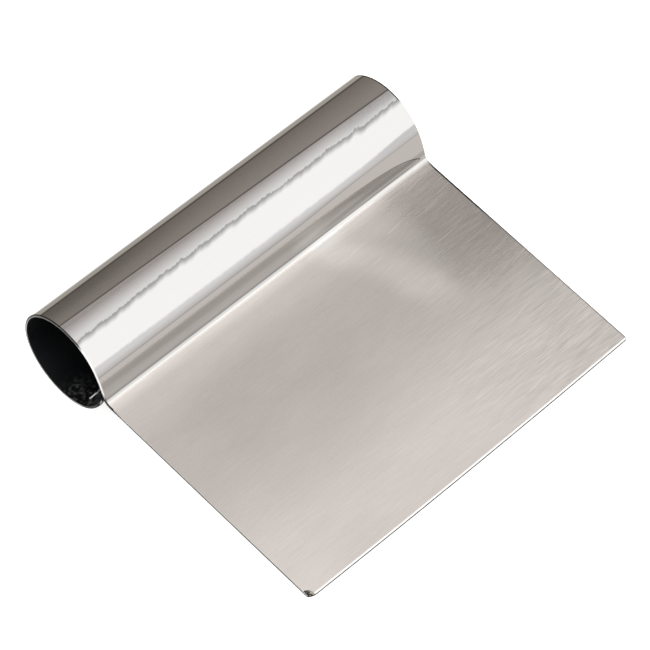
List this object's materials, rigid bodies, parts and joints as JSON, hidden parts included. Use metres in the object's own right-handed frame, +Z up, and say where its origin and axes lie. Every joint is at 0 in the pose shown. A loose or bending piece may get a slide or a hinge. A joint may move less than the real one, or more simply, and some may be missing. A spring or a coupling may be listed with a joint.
{
  "type": "bench scraper",
  "caption": "Steel dough scraper: a flat rectangular blade with a bevelled working edge, welded to the lip of a large hollow rolled handle as wide as the blade.",
  "frame": {"origin": "centre of the bounding box's bottom face: the table under the middle of the scraper, which lies on its handle and its working edge", "axes": "+X along the handle, -Y toward the blade's working edge, +Y toward the handle, +Z up from the table"},
  "size_m": [0.12, 0.1082, 0.03],
  "materials": {
    "polished_steel": "mirror-polished stainless steel with lengthwise polishing marks",
    "brushed_steel": "satin brushed stainless steel, brushed parallel to the handle",
    "ground_weld": "weld ground flush and brushed with the blade",
    "weld_bead": "small wire-brushed weld beads"
  },
  "bodies": {
    "root": {"handle_roll": "polished_steel", "blade": "brushed_steel", "seam_weld": "ground_weld", "closing_weld_left": "weld_bead", "closing_weld_middle": "weld_bead", "closing_weld_right": "weld_bead"}
  },
  "joints": []
}
